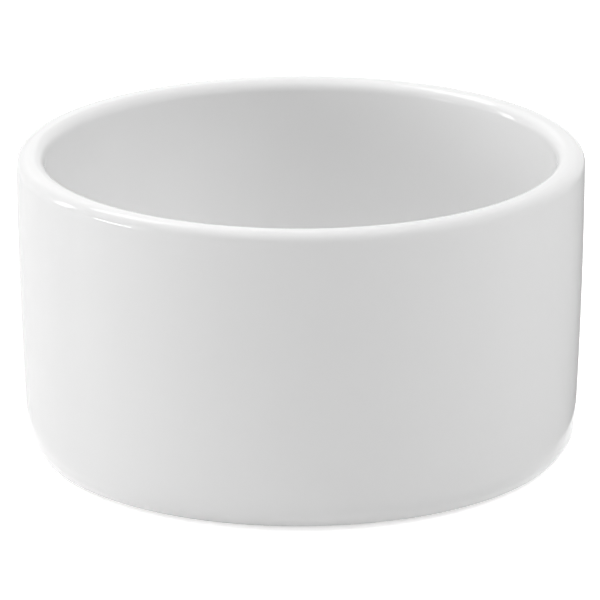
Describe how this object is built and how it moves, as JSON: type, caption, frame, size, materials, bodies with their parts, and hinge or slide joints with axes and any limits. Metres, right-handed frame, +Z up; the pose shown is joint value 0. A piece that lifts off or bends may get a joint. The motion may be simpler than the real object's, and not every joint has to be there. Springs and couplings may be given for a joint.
{
  "type": "ramekin",
  "caption": "Round straight-walled porcelain ramekin with a softly rounded rim, glazed inside and out, standing on a dry foot ring round a shallow recess.",
  "frame": {"origin": "centre of the plane that the foot ring rests on, on the turning axis", "axes": "+Z up along the turning axis; the dish is round, so X and Y are free"},
  "size_m": [0.09, 0.09, 0.0485],
  "materials": {
    "biscuit": "matt, unglazed",
    "glaze": "gloss"
  },
  "bodies": {
    "root": {"clay_body": "biscuit", "glaze_coat": "glaze", "recess_glaze": "glaze"}
  },
  "joints": []
}
